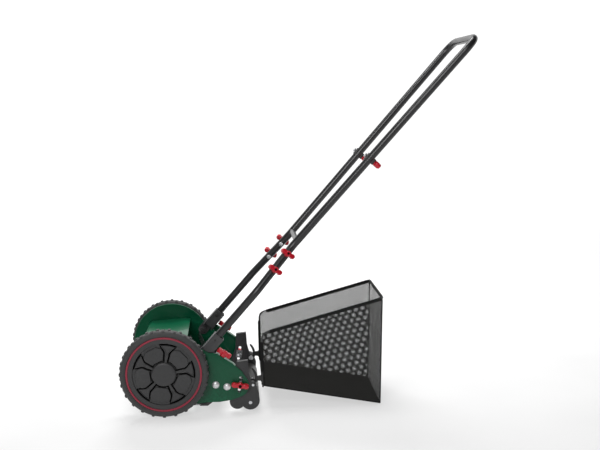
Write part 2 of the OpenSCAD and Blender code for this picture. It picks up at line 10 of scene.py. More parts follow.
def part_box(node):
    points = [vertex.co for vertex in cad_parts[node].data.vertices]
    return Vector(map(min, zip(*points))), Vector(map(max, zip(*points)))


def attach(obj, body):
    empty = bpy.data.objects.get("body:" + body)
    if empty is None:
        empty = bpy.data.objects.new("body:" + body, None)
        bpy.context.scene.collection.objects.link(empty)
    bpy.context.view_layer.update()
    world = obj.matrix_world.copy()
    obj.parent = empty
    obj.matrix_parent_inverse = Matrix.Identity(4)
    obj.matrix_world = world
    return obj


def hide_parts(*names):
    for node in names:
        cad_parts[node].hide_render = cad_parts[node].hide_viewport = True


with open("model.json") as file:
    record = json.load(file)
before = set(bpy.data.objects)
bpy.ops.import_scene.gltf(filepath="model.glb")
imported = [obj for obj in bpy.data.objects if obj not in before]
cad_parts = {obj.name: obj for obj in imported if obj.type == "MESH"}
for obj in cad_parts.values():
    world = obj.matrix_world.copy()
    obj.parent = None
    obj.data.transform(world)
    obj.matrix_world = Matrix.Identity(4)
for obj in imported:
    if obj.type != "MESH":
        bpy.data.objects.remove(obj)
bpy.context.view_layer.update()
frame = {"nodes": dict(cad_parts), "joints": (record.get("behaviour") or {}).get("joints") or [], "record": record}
nodes = frame["nodes"]

# Places in this script are in millimetres: x from the wheel axle towards the rear, y from the middle, z from
# the ground. The axle and the tyre's two sides come from the frame.
AXLE_LOW, AXLE_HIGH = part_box("wheel_axle_left")
AXLE_X = (AXLE_LOW.x + AXLE_HIGH.x) / 2
AXLE_Z = (AXLE_LOW.z + AXLE_HIGH.z) / 2 * 1000
TYRE_OUT = -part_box("tyre_left")[0].y * 1000
TYRE_IN = -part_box("tyre_left")[1].y * 1000
SIDES = (("left", -1), ("right", 1))


def P(x, y, z):
    """The same place in the frame's metres."""
    return Vector((AXLE_X + x / 1000, y / 1000, z / 1000))


# ---------------------------------------------------------------- materials

def new_material(name):
    m = bpy.data.materials.new(name)
    m.use_nodes = True
    nt = m.node_tree
    nt.nodes.clear()
    out = nt.nodes.new("ShaderNodeOutputMaterial")
    b = nt.nodes.new("ShaderNodeBsdfPrincipled")
    nt.links.new(b.outputs[0], out.inputs[0])
    return m, nt, b


def maths(nt, operation, *values):
    """A maths node. Each value is a number or another node's output."""
    n = nt.nodes.new("ShaderNodeMath")
    n.operation = operation
    for socket, value in zip(n.inputs, values):
        if isinstance(value, (int, float)):
            socket.default_value = value
        else:
            nt.links.new(value, socket)
    return n.outputs[0]


def noise(nt, coords, scale, detail=3.0, rough=0.5):
    n = nt.nodes.new("ShaderNodeTexNoise")
    n.inputs["Scale"].default_value = scale
    n.inputs["Detail"].default_value = detail
    n.inputs["Roughness"].default_value = rough
    nt.links.new(coords, n.inputs["Vector"])
    return n.outputs["Fac"]


def ramp(nt, fac, stops):
    r = nt.nodes.new("ShaderNodeValToRGB")
    e = r.color_ramp.elements
    while len(e) < len(stops):
        e.new(0.5)
    for s, (pos, col) in zip(e, stops):
        s.position = pos
        s.color = (*col, 1) if len(col) == 3 else col
    nt.links.new(fac, r.inputs[0])
    return r.outputs[0]


def mapped(nt, value, lo, hi, a=0.0, b=1.0):
    m = nt.nodes.new("ShaderNodeMapRange")
    m.inputs["From Min"].default_value = a
    m.inputs["From Max"].default_value = b
    m.inputs["To Min"].default_value = lo
    m.inputs["To Max"].default_value = hi
    nt.links.new(value, m.inputs["Value"])
    return m.outputs[0]


def bumped(nt, b, *layers):
    last = None
    for height, strength, distance in layers:
        n = nt.nodes.new("ShaderNodeBump")
        n.inputs["Strength"].default_value = strength
        n.inputs["Distance"].default_value = distance
        nt.links.new(height, n.inputs["Height"])
        if last is not None:
            nt.links.new(last, n.inputs["Normal"])
        last = n.outputs[0]
    nt.links.new(last, b.inputs["Normal"])


def surface(name, dark, light, rough, fine, coarse=8.0, metal=0.0, coat=0.0, bump=0.15, depth=0.0002,
            wear=None, specular=0.5, stretch=None, grain=None):
    """A paint, plastic, rubber or metal: two tones broken up by noise, uneven gloss and a fine relief.
    rough: its lowest and highest roughness. fine, coarse, grain: scales of noise. stretch: the fine noise's
    scale along X, Y and Z. wear: the colour of rubbed edges, and the pointiness where it starts and ends."""
    m, nt, b = new_material(name)
    co = nt.nodes.new("ShaderNodeTexCoord").outputs["Object"]
    fine_co = co
    if stretch:
        mapping = nt.nodes.new("ShaderNodeMapping")
        mapping.inputs["Scale"].default_value = stretch
        nt.links.new(co, mapping.inputs["Vector"])
        fine_co = mapping.outputs[0]
    broad = noise(nt, co, coarse, 4.0)
    small = noise(nt, fine_co, fine, 4.0, 0.6)
    colour = ramp(nt, maths(nt, "MULTIPLY_ADD", small, 0.45, broad), [(0.45, dark), (0.95, light)])
    if wear:
        worn, starts, ends = wear
        geometry = nt.nodes.new("ShaderNodeNewGeometry")
        edge = mapped(nt, geometry.outputs["Pointiness"], 0.0, 1.0, starts, ends)
        patchy = maths(nt, "MULTIPLY", edge, mapped(nt, small, 0.0, 1.0, 0.42, 0.62))
        mixed = nt.nodes.new("ShaderNodeMix")
        mixed.data_type = "RGBA"
        nt.links.new(patchy, mixed.inputs["Factor"])
        nt.links.new(colour, mixed.inputs["A"])
        mixed.inputs["B"].default_value = (*worn, 1)
        colour = mixed.outputs["Result"]
    nt.links.new(colour, b.inputs["Base Color"])
    b.inputs["Metallic"].default_value = metal
    b.inputs["Specular IOR Level"].default_value = specular
    b.inputs["Coat Weight"].default_value = coat
    b.inputs["Coat Roughness"].default_value = 0.08
    nt.links.new(mapped(nt, broad, rough[0], rough[1], 0.3, 0.7), b.inputs["Roughness"])
    layers = [(small, bump, depth)]
    if grain:
        layers.append((noise(nt, co, grain, 2.0), bump * 0.6, depth))
    bumped(nt, b, *layers)
    return m


M = {}
M["green"] = surface("green_paint", (0.0, 0.060, 0.026), (0.0004, 0.080, 0.034), (0.26, 0.34), 260, 7,
                     coat=0.2, bump=0.05, wear=((0.004, 0.10, 0.045), 0.53, 0.60), specular=0.22)
M["tube"] = surface("tube_paint", (0.008, 0.008, 0.009), (0.016, 0.016, 0.017), (0.30, 0.40), 900, 9,
                    coat=0.15, bump=0.10)
M["wire"] = surface("wire_paint", (0.009, 0.009, 0.009), (0.02, 0.02, 0.02), (0.3, 0.42), 1200, 14, bump=0.1)
M["bracket"] = surface("bracket_paint", (0.034, 0.034, 0.036), (0.052, 0.052, 0.054), (0.34, 0.46), 700, 10,
                       coat=0.1, bump=0.12, wear=((0.16, 0.16, 0.16), 0.53, 0.62))
M["zinc"] = surface("zinc_plate", (0.50, 0.51, 0.53), (0.72, 0.73, 0.75), (0.2, 0.34), 500, 30, metal=1.0,
                    bump=0.08, depth=0.0001)
M["steel"] = surface("ground_steel", (0.42, 0.43, 0.44), (0.66, 0.67, 0.69), (0.18, 0.3), 160, 20, metal=1.0,
                     bump=0.15, depth=0.0001, stretch=(14, 1, 14))
M["gear"] = surface("gear_iron", (0.10, 0.095, 0.09), (0.2, 0.19, 0.18), (0.35, 0.55), 300, 30,
                    metal=0.9, bump=0.2)
M["iron"] = surface("black_iron", (0.011, 0.011, 0.011), (0.024, 0.024, 0.024), (0.4, 0.58), 420, 12,
                    bump=0.35, depth=0.0004, wear=((0.10, 0.10, 0.10), 0.53, 0.64))
M["tyre"] = surface("tyre_rubber", (0.030, 0.030, 0.031), (0.050, 0.050, 0.050), (0.5, 0.66), 800, 10,
                    bump=0.3, depth=0.0003, specular=0.45, grain=2600)
M["hub"] = surface("hub_plastic", (0.027, 0.027, 0.028), (0.039, 0.039, 0.040), (0.42, 0.52), 1500, 9,
                   bump=0.25, depth=0.00015, grain=3600)
# A near-black material painted into the hub's grooves and slots and the knobs' recesses as shadow
M["void"] = surface("painted_recess_shadow", (0.0015, 0.0015, 0.0015), (0.004, 0.004, 0.004), (0.7, 0.8), 900, 9,
                    bump=0.1, specular=0.1)
M["cast"] = surface("cast_grey", (0.16, 0.16, 0.165), (0.24, 0.24, 0.245), (0.4, 0.55), 420, 18, metal=0.35,
                    bump=0.3, depth=0.0003)
M["bolt"] = surface("bright_bolt", (0.62, 0.62, 0.63), (0.80, 0.80, 0.81), (0.34, 0.46), 600, 40, metal=0.6,
                    bump=0.1, depth=0.0001)
M["trim"] = surface("trim_red", (0.24, 0.010, 0.030), (0.31, 0.016, 0.042), (0.4, 0.5), 900, 12, bump=0.1)
M["red"] = surface("knob_red", (0.44, 0.003, 0.014), (0.54, 0.006, 0.022), (0.28, 0.38), 1300, 22, coat=0.15,
                   bump=0.16, depth=0.00015)
M["plastic"] = surface("black_plastic", (0.020, 0.020, 0.021), (0.034, 0.034, 0.035), (0.4, 0.52), 1400, 12,
                       bump=0.25, depth=0.00015, grain=3200)
M["roller"] = surface("roller_plastic", (0.016, 0.016, 0.016), (0.034, 0.033, 0.032), (0.38, 0.6), 700, 9,
                      bump=0.3, depth=0.0003, stretch=(1, 0.12, 1))


# The net's rows of holes stand this much further apart than the holes in a row
ROWS = 1.535


def cloth(name, dark, light, pitch, holes, plane):
    """A woven or perforated cloth. plane gives the two axes it lies along, each as the share of X, Y and Z.
    holes is the hole's radius as a share of the pitch, or 0 for a closed weave."""
    m, nt, b = new_material(name)
    co = nt.nodes.new("ShaderNodeTexCoord").outputs["Object"]

    def steps_along(axis):
        n = nt.nodes.new("ShaderNodeVectorMath")
        n.operation = "DOT_PRODUCT"
        nt.links.new(co, n.inputs[0])
        n.inputs[1].default_value = axis
        return maths(nt, "DIVIDE", n.outputs["Value"], pitch)

    u, v = steps_along(plane[0]), steps_along(plane[1])
    fuzz = noise(nt, co, 2600, 2.0)
    broad = noise(nt, co, 12, 3.0)
    colour = ramp(nt, maths(nt, "MULTIPLY_ADD", fuzz, 0.5, 0.5), [(0.1, dark), (0.5, light)])
    nt.links.new(colour, b.inputs["Base Color"])
    b.inputs["Specular IOR Level"].default_value = 0.08
    nt.links.new(mapped(nt, broad, 0.62, 0.82), b.inputs["Roughness"])
    if not holes:
        weave = maths(nt, "MULTIPLY", *(maths(nt, "SINE", maths(nt, "MULTIPLY", w, 6.2832)) for w in (u, v)))
        bumped(nt, b, (weave, 0.4, 0.0002), (fuzz, 0.3, 0.0001), (broad, 0.2, 0.002))
        return m

    def from_middle(w, shift):
        """How far a place is from the middle of its step, shifted by a share of a step."""
        return maths(nt, "SUBTRACT", maths(nt, "FRACT", maths(nt, "ADD", w, shift)), 0.5)

    # Rows of holes, each half a step over from the next
    distances = []
    for shift in (0.0, 0.5):
        du = from_middle(u, shift)
        dv = maths(nt, "MULTIPLY", from_middle(maths(nt, "DIVIDE", v, ROWS), shift), ROWS)
        squares = (maths(nt, "MULTIPLY", d, d) for d in (du, dv))
        distances.append(maths(nt, "SQRT", maths(nt, "ADD", *squares)))
    nearest = maths(nt, "MINIMUM", *distances)
    nt.links.new(maths(nt, "GREATER_THAN", nearest, holes), b.inputs["Alpha"])
    bumped(nt, b, (nearest, 0.4, 0.0003), (fuzz, 0.2, 0.0001))
    m.surface_render_method = "DITHERED"
    return m


# ---------------------------------------------------------------- making pieces

def add_object(name, verts, faces, mat, body, replaces=(), sharp=32):
    me = bpy.data.meshes.new(name)
    me.from_pydata([tuple(v) for v in verts], [], faces)
    me.update()
    o = bpy.data.objects.new(name, me)
    bpy.context.scene.collection.objects.link(o)
    return done(o, mat, body, replaces, sharp)


def done(o, mat, body, replaces=(), sharp=32):
    me = o.data
    bm = bmesh.new()
    bm.from_mesh(me)
    bmesh.ops.remove_doubles(bm, verts=bm.verts, dist=1e-6)
    bmesh.ops.recalc_face_normals(bm, faces=bm.faces)
    bm.to_mesh(me)
    bm.free()
    me.polygons.foreach_set("use_smooth", [True] * len(me.polygons))
    me.set_sharp_from_angle(angle=math.radians(sharp))
    me.materials.clear()
    me.materials.append(M[mat] if isinstance(mat, str) else mat)
    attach(o, body)
    if replaces:
        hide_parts(*replaces)
    return o


def from_bmesh(bm, name, mat, body, replaces=(), sharp=32):
    me = bpy.data.meshes.new(name)
    bm.to_mesh(me)
    bm.free()
    o = bpy.data.objects.new(name, me)
    bpy.context.scene.collection.objects.link(o)
    return done(o, mat, body, replaces, sharp)


BODY_OF = {n: b for b, ns in frame["record"]["behaviour"]["bodies"].items() for n in ns}


def dressed(name, mat, bevel=0.4, sharp=34, segments=2, angle=28):
    """A CAD node's shape with its edges eased, as a pressed, cast or moulded part has them."""
    bm = bmesh.new()
    bm.from_mesh(nodes[name].data)
    bmesh.ops.remove_doubles(bm, verts=bm.verts, dist=2e-6)
    bmesh.ops.dissolve_limit(bm, angle_limit=math.radians(0.6), verts=bm.verts[:], edges=bm.edges[:])
    if bevel:
        edges = [e for e in bm.edges if len(e.link_faces) == 2
                 and e.calc_face_angle(0) > math.radians(angle)]
        bmesh.ops.bevel(bm, geom=edges, offset=bevel / 1000, segments=segments, profile=0.5,
                        affect="EDGES", clamp_overlap=True)
    return from_bmesh(bm, name + "_finished", mat, BODY_OF[name], [name], sharp)


def lathe(name, profile, mat, body, replaces, steps):
    """A closed profile of (radius, y) in mm, turned about the wheels' axle."""
    n = len(profile)
    verts = [wheel_place(r, 2 * math.pi * i / steps, y) for i in range(steps) for r, y in profile]
    faces = []
    for i in range(steps):
        j = (i + 1) % steps
        for k in range(n):
            k2 = (k + 1) % n
            faces.append((i * n + k, i * n + k2, j * n + k2, j * n + k))
    return add_object(name, verts, faces, mat, body, replaces)


def wheel_place(r, angle, y):
    return P(r * math.cos(angle), y, AXLE_Z + r * math.sin(angle))


def smoothstep(a, b, x):
    t = np.clip((x - a) / (b - a), 0, 1)
    return t * t * (3 - 2 * t)


def band(a, b, c, d, x):
    """0 below a, rising to 1 at b, and back from 1 at c to 0 at d."""
    return smoothstep(a, b, x) * smoothstep(d, c, x)


def loft(bm, loops, caps=True):
    """Joins loops of vertices, each to the next, and closes both ends."""
    n = len(loops[0])
    for l0, l1 in zip(loops, loops[1:]):
        for k in range(n):
            bm.faces.new((l0[k], l0[(k + 1) % n], l1[(k + 1) % n], l1[k]))
    if caps:
        bm.faces.new(loops[0][::-1])
        bm.faces.new(loops[-1])


def bezier_path(points, radius, steps=6):
    """Points joined by straight lines whose corners are rounded to about that radius."""
    pts = [Vector(p) for p in points]
    out = [pts[0]]
    for a, b, c in zip(pts, pts[1:], pts[2:]):
        r = min(radius, (b - a).length * 0.45, (c - b).length * 0.45)
        p, q = b + (a - b).normalized() * r, b + (c - b).normalized() * r
        for i in range(steps + 1):
            t = i / steps
            out.append((1 - t) ** 2 * p + 2 * t * (1 - t) * b + t * t * q)
    out.append(pts[-1])
    return out


def sweep(bm, path, section, up):
    """Sweeps a section, a list of (side, up) offsets in metres, along a path in metres."""
    rings, last = [], len(path) - 1
    for i, p in enumerate(path):
        d = (path[min(i + 1, last)] - path[max(i - 1, 0)]).normalized()
        side = d.cross(up).normalized()
        top = side.cross(d).normalized()
        rings.append([bm.verts.new(p + side * s + top * t) for s, t in section])
    loft(bm, rings)


def round_section(r, n=16, squeeze=1.0):
    return [(r * math.cos(2 * math.pi * i / n) / 1000, squeeze * r * math.sin(2 * math.pi * i / n) / 1000)
            for i in range(n)]


# ---------------------------------------------------------------- camera

# Where the camera stands, how far it turns to the right and how far it looks down
CAMERA_PLACE = P(192, -2929, 900)
TURN, DOWN = math.radians(3.68), math.radians(7.47)
forward = Vector((math.sin(TURN) * math.cos(DOWN), math.cos(TURN) * math.cos(DOWN), -math.sin(DOWN)))
right = Vector((math.cos(TURN), -math.sin(TURN), 0))
above = right.cross(forward)
camera = bpy.data.objects.new("camera", bpy.data.cameras.new("camera"))
camera.matrix_world = Matrix((
    (right.x, above.x, -forward.x, CAMERA_PLACE.x),
    (right.y, above.y, -forward.y, CAMERA_PLACE.y),
    (right.z, above.z, -forward.z, CAMERA_PLACE.z),
    (0, 0, 0, 1)))
camera.data.sensor_width = 36
camera.data.lens = 59.94
camera.data.shift_x = 0.0075
camera.data.shift_y = -0.0015
bpy.context.scene.collection.objects.link(camera)
bpy.context.scene.camera = camera

# ---------------------------------------------------------------- wheels

WHEEL_R = 125.0        # over the lugs
CARCASS_R = 122.3
RIM = 104.0            # where the tyre sits on the hub
LUGS = 24              # in each of the two rows
PADS = 5
HUB_FACE = TYRE_OUT - 2.2
CAP_R = 34.0


def tyre(side, g):
    """A rounded carcass with two staggered rows of bevelled lugs."""
    low, high = TYRE_IN, TYRE_OUT
    profile = [(RIM, low + 2.2), (106.5, low + 0.8), (109, low + 0.1), (113, low + 0.0), (116.6, low + 0.7),
               (119.4, low + 2.0), (121.4, low + 4.0), (CARCASS_R, low + 7), (CARCASS_R + 0.1, low + 12),
               (CARCASS_R + 0.15, (low + high) / 2), (CARCASS_R + 0.1, high - 12), (CARCASS_R, high - 7),
               (121.4, high - 4.0), (119.4, high - 2.0), (116.6, high - 0.7), (113, high - 0.05),
               (111.4, high - 0.05), (110.9, high - 0.5), (110.3, high - 0.5), (109.8, high - 0.05),
               (108.2, high - 0.2), (107.0, high - 0.9), (106.3, high - 2.0), (RIM, high - 2.2)]
    bm = bmesh.new()
    steps, n = 192, len(profile)
    rings = [[bm.verts.new(wheel_place(r, 2 * math.pi * i / steps, g * y)) for r, y in profile]
             for i in range(steps)]
    for i in range(steps):
        r0, r1 = rings[i], rings[(i + 1) % steps]
        for k in range(n):
            bm.faces.new((r0[k], r0[(k + 1) % n], r1[(k + 1) % n], r1[k]))
    # The outer row reaches from near the tyre's middle to its outer side, the inner row to its inner side
    rows = ((high - 17.4, high - 2.0, 0.0), (low + 2.0, low + 17.4, 0.5))
    # A lug from root to top: radius, half its length round the wheel, and how far its ends are drawn in
    lug = ((119.0, 4.5, 0.0), (122.7, 4.2, 0.2), (124.3, 3.5, 1.0), (WHEEL_R, 2.6, 2.2))
    for i in range(LUGS):
        for y0, y1, shift in rows:
            a = math.radians(-90 + (i + shift) * 360 / LUGS)
            ca, sa = math.cos(a), math.sin(a)
            loops = []
            for r, half, pull in lug:
                lo_y, hi_y = y0 + pull * 0.6, y1 - pull * 0.6
                if r > 124:
                    # The end at the shoulder slopes down the side of the tyre
                    if shift:
                        lo_y += 1.6
                    else:
                        hi_y -= 1.6
                loop = []
                for t, y in ((-half, lo_y), (half, lo_y), (half, hi_y), (-half, hi_y)):
                    # The lowest lug stands flat on the ground
                    stands = i == 0 and not shift and r == WHEEL_R
                    d = r if stands else math.sqrt(r * r - t * t)
                    loop.append(bm.verts.new(P(d * ca - t * sa, g * y, AXLE_Z + d * sa + t * ca)))
                loops.append(loop)
            loft(bm, loops)
    from_bmesh(bm, "tyre_%s_ribbed" % side, "tyre", "wheel_" + side, ["tyre_" + side], 30)


def hub_relief():
    """A moulded face with pads, flared spokes and slots: radii, angles and the height at each, in mm."""
    radii = np.concatenate([np.linspace(8.2, 33, 10), np.linspace(34, 88, 92),
                            np.linspace(88.8, RIM - 0.1, 14)])
    angles = np.arange(540) * 2 * math.pi / 540
    R, T = np.meshgrid(radii, angles)
    sector = 2 * math.pi / PADS
    turned = T - math.radians(9)
    from_spoke = (turned + sector / 2) % sector - sector / 2
    from_pad = turned % sector - sector / 2
    along, across = R * np.cos(from_spoke), np.abs(R * np.sin(from_spoke))
    pad_along, pad_across = R * np.cos(from_pad), np.abs(R * np.sin(from_pad))
    flare = 3.6 + 1.6 * smoothstep(34, 56, along) + 15.5 * smoothstep(56, 83, along) ** 1.3
    dish = smoothstep(88.0, 86.6, R)
    spoke = smoothstep(flare + 0.3, flare - 0.7, across) * smoothstep(83.2, 82.4, R) * dish
    hollow = smoothstep(flare - 2.2, flare - 4.0, across) * smoothstep(46, 58, along)
    hollow *= smoothstep(81.6, 80.2, R)
    groove = band(flare + 0.2, flare + 0.9, flare + 3.2, flare + 3.9, across) * band(33.5, 35, 80, 81.5, R)
    pad = smoothstep(flare + 3.6, flare + 4.9, across) * band(37.6, 39.0, 77.9, 79.2, pad_along)
    pad *= smoothstep(0.0, 1.2, (pad_along - 37) * 0.75 + 16.5 - pad_across)
    pad *= smoothstep(0.0, 1.2, (80.5 - pad_along) * 1.25 + 13.5 - pad_across)
    crown = smoothstep(4, 12, np.hypot(pad_along - 58, pad_across))
    moat = band(33.6, 34.6, 37.4, 38.4, R) * (1 - spoke)
    slot = band(82.6, 83.1, 85.9, 86.4, R) * smoothstep(0.295, 0.28, np.abs(from_spoke))
    scribed = band(90.2, 90.8, 91.6, 92.2, R)
    h = (-3.4 * dish + 2.6 * spoke - 1.5 * hollow * dish - 7.5 * groove + pad * (4.6 - 0.5 * crown)
         - 3.0 * moat - 8.0 * slot - 0.35 * scribed)
    return radii, angles, np.clip(h, -10.0, 2.9)


def hub(side, g, relief):
    """The moulded face, closed at the back by a web and two rims."""
    radii, angles, h = relief
    low = TYRE_IN
    back = [(RIM - 0.1, low + 2.6), (RIM - 0.1, low + 1.6), (99.5, low + 1.2), (98.6, low + 1.4),
            (98.6, low + 17), (20.5, low + 17), (20, low + 16.4), (20, low + 1.6), (19.2, low + 1.0),
            (8.2, low + 1.0)]
    verts, faces, n = [], [], len(radii) + len(back)
    for a, heights in zip(angles, h):
        profile = [(r, HUB_FACE + lift) for r, lift in zip(radii, heights)] + back
        for r, y in profile:
            verts.append(P(-g * r * math.cos(a), g * y, AXLE_Z + r * math.sin(a)))
    for i in range(len(angles)):
        j = (i + 1) % len(angles)
        for k in range(n):
            k2 = (k + 1) % n
            faces.append((i * n + k, i * n + k2, j * n + k2, j * n + k))
    o = add_object("wheel_hub_%s_moulded" % side, verts, faces, "hub", "wheel_" + side,
                   ["wheel_hub_" + side], 40)
    # Painted shadow: the bottoms of the grooves and slots get a near-black material as their shade
    o.data.materials.append(M["void"])
    for f in o.data.polygons:
        r = math.hypot(f.center.x - AXLE_X, f.center.z - AXLE_Z / 1000) * 1000
        if 36 < r < 88 and 3.9 < HUB_FACE - g * f.center.y * 1000 < 13:
            f.material_index = 1


def trim_ring(side, g):
    rounded = ((100.6, -2.0), (100.6, -0.5), (101.0, 0.1), (101.8, 0.4), (103.2, 0.5), (104.6, 0.4),
               (105.4, 0.1), (105.8, -0.5), (105.8, -2.0))
    lathe("trim_ring_%s_rounded" % side, [(r, g * (TYRE_OUT + y)) for r, y in rounded], "trim",
          "wheel_" + side, ["trim_ring_" + side], 144)


def hub_cap(side, g):
    """A low dome with a bevelled, fluted rim and a shallow dimple beside its middle."""
    dome = ((4, 1.88), (8, 1.82), (12, 1.7), (16, 1.55), (20, 1.35), (24, 1.05), (27, 0.75), (29.5, 0.35),
            (31.2, -0.2), (32.6, -0.9), (33.4, -1.8), (33.9, -3.0), (CAP_R, -5.0), (CAP_R, -6.8))
    bm = bmesh.new()
    steps = 80
    rings = []
    for i in range(steps):
        a = 2 * math.pi * i / steps
        ring = []
        for r, y in dome:
            x, z = r * math.cos(a), r * math.sin(a)
            if r < CAP_R:
                y -= 0.9 * math.exp(-(math.hypot(x - 20, z - 3) / 3.2) ** 2)
            if 27 < r < 33.5:
                y -= 0.22 * (0.5 + 0.5 * math.cos(20 * a))
            ring.append(bm.verts.new(P(x, g * (TYRE_OUT + y), AXLE_Z + z)))
        rings.append(ring)
    middle = bm.verts.new(P(0, g * (TYRE_OUT + 1.9), AXLE_Z))
    for i in range(steps):
        r0, r1 = rings[i], rings[(i + 1) % steps]
        bm.faces.new((middle, r0[0], r1[0]))
        for k in range(len(dome) - 1):
            bm.faces.new((r0[k], r0[k + 1], r1[k + 1], r1[k]))
    bm.faces.new([r[-1] for r in rings])
    from_bmesh(bm, "hub_cap_%s_domed" % side, "hub", "wheel_" + side, ["hub_cap_" + side], 40)


relief = hub_relief()
for side, g in SIDES:
    tyre(side, g)
    hub(side, g, relief)
    trim_ring(side, g)
    hub_cap(side, g)
    dressed("ring_gear_" + side, "gear", 0)

# ---------------------------------------------------------------- knobs

KNOB_HUB_R = 8.1
KNOB_TIP_R = 6.2
KNOB_WAIST = 5.6


def wing_knob(name, base, axis, wing, span=44.0, height=20.0, bore=3.3):
    """A winged knob. base: where it stands; axis: the way it stands; wing: the way its wings run."""
    axis, wing = Vector(axis).normalized(), Vector(wing).normalized()
    wing = (wing - axis * wing.dot(axis)).normalized()
    cross = axis.cross(wing)
    tip_x = span / 2 - KNOB_TIP_R
    bm = bmesh.new()

    def vert(x, y, z):
        return bm.verts.new(base + (wing * x + cross * y + axis * z) / 1000)

    def half_width(x):
        """Hub, tips and waist blended into one smooth outline."""
        hub_part = math.sqrt(max(KNOB_HUB_R ** 2 - x * x, 0))
        tip_part = math.sqrt(max(KNOB_TIP_R ** 2 - (abs(x) - tip_x) ** 2, 0))
        waist_part = KNOB_WAIST if abs(x) < tip_x else 0
        return (hub_part ** 4 + tip_part ** 4 + waist_part ** 4) ** 0.25

    xs = [-(span / 2) * math.cos(math.pi * i / 36) for i in range(37)]
    outline = [(x, half_width(x)) for x in xs] + [(x, -half_width(x)) for x in xs[-2:0:-1]]

    def ring(z, scale, pull, rise=0.0):
        """The outline at height z, scaled and drawn in by pull, with the wings' ends risen."""
        out = []
        for x, y in outline:
            k = scale * (1 - pull / max(math.hypot(x, y), 1e-6))
            out.append(vert(x * k, y * k, z + rise * float(smoothstep(8.0, 20.0, abs(x)))))
        return out

    loft(bm, [ring(4.0, 1.0, 1.4), ring(4.3, 1.0, 0.5), ring(5.0, 1.0, 0.0), ring(height - 4.4, 0.99, 0.0),
              ring(height - 2.6, 0.985, 0.3, 1.0), ring(height - 1.9, 0.98, 1.0, 1.2),
              ring(height - 1.6, 0.97, 2.0, 1.3)])

    def turned(profile, steps=40):
        loops = [[vert(r * math.cos(2 * math.pi * i / steps), r * math.sin(2 * math.pi * i / steps), z)
                  for i in range(steps)] for r, z in profile]
        loft(bm, loops, caps=False)
        return loops

    # Collar below, and a raised boss with the recess for the screw on top
    turned([(bore, 0.0), (7.8, 0.0), (8.4, 0.5), (8.4, 4.6), (8.0, 5.2)])
    boss = turned([(7.2, height - 2.4), (7.0, height - 0.5), (6.4, height), (bore + 0.9, height),
                   (bore + 0.2, height - 0.7), (bore, height - 1.2)])
    bm.faces.new(boss[-1])
    # Grip ribs on the flanks of the wings
    for wing_side in (-1, 1):
        for i in range(4):
            x = wing_side * (tip_x - 4.5 + 3.0 * i)
            if abs(x) > span / 2 - 1.5:
                continue
            for flank in (-1, 1):
                y = flank * (half_width(x) - 0.15)
                loft(bm, [[vert(x + dx * w, y + dy * w * flank, z)
                           for dx, dy in ((-0.8, -0.6), (0.8, -0.6), (0.45, 0.55), (-0.45, 0.55))]
                          for z, w in ((5.6, 0.3), (6.4, 0.75), (height - 5.0, 0.75), (height - 4.2, 0.3))])
    o = from_bmesh(bm, name + "_moulded", "red", BODY_OF[name], [name], 38)
    # Painted shadow: the screw recess gets a near-black material as its shade
    o.data.materials.append(M["void"])
    for f in o.data.polygons:
        far = max((o.data.vertices[v].co - base).cross(axis).length for v in f.vertices)
        if far < (bore + 0.3) / 1000 and (f.center - base).dot(axis) > height / 2000:
            f.material_index = 1


joint = {j["name"]: j for j in frame["joints"]}
HANDLE_RISE = math.radians(49.03)
ALONG = Vector((math.cos(HANDLE_RISE), 0, math.sin(HANDLE_RISE)))
REAR = Vector((math.sin(HANDLE_RISE), 0, -math.cos(HANDLE_RISE)))
TWIST = math.radians(6)
HEIGHT_KNOB_DROOP = math.radians(8)
for side, g in SIDES:
    for level in ("lower", "upper"):
        j = joint["joint_knob_%s_%s_turn" % (side, level)]
        axis = Vector(j["axis"])
        wing_knob("joint_knob_%s_%s" % (side, level), Vector(j["pos_m"]) + axis * 0.0116, axis,
                  REAR * math.cos(TWIST) + ALONG * math.sin(TWIST))
    j = joint["top_knob_%s_turn" % side]
    wing_knob("top_knob_" + side, Vector(j["pos_m"]), Vector(j["axis"]), (0, 1, 0))
    j = joint["adjuster_%s_turn" % side]
    axis = Vector(j["axis"])
    wing_knob("adjuster_knob_" + side, Vector(j["pos_m"]) + axis * 0.0003, axis,
              axis.cross(Vector((0, 1, 0))), height=18.0)
    j = joint["height_knob_%s_turn" % side]
    base = Vector(j["pos_m"])
    base.y = g * 0.1793
    wing_knob("height_knob_" + side, base, (0, g, 0),
              (math.cos(HEIGHT_KNOB_DROOP), 0, -math.sin(HEIGHT_KNOB_DROOP)), span=50.0, bore=4.2)

# ---------------------------------------------------------------- metalwork carried over from the CAD

for name in ("side_plate_left", "side_plate_right"):
    dressed(name, "green", 0.6, segments=3)
dressed("reel_cover", "green", 0.5)
dressed("tie_rod", "tube", 0.6)
for name in ("wheel_axle_left", "wheel_axle_right", "reel_bearings", "height_bolts",
             "adjuster_screw_left", "adjuster_screw_right", "knife_screws", "wheel_clips", "bag_pins",
             "roller_axle", "reel_shaft", "drive_pawls"):
    dressed(name, "zinc", 0.35)
dressed("handle_pivot_bolts", "iron", 0.35)
bolts = dressed("handle_bolts", "zinc", 0.35)
# The bolts at the handle's feet are black, and all the others bright
bolts.data.materials.append(M["iron"])
for f in bolts.data.polygons:
    if f.center.z < 0.24:
        f.material_index = 1
dressed("height_clamp_plates", "cast", 1.2)
dressed("cutter_bar_bolts", "bolt", 0.35)
for name in ("pinion_left", "pinion_right"):
    dressed(name, "gear", 0)
dressed("reel_spiders", "iron", 0.4)
dressed("reel_blades", "steel", 0.0, sharp=40)
dressed("knife_carrier", "iron", 0.7)
dressed("bed_knife", "steel", 0.25)
for name in ("roller_bracket_left", "roller_bracket_right"):
    dressed(name, "plastic", 1.2, segments=3)
dressed("rear_roller", "roller", 1.0, segments=3)
for name in ("handle_bracket_left", "handle_bracket_right"):
    dressed(name, "bracket", 0.8, segments=3)

# ---------------------------------------------------------------- handle

PIVOT = P(99.2, 0, 160)
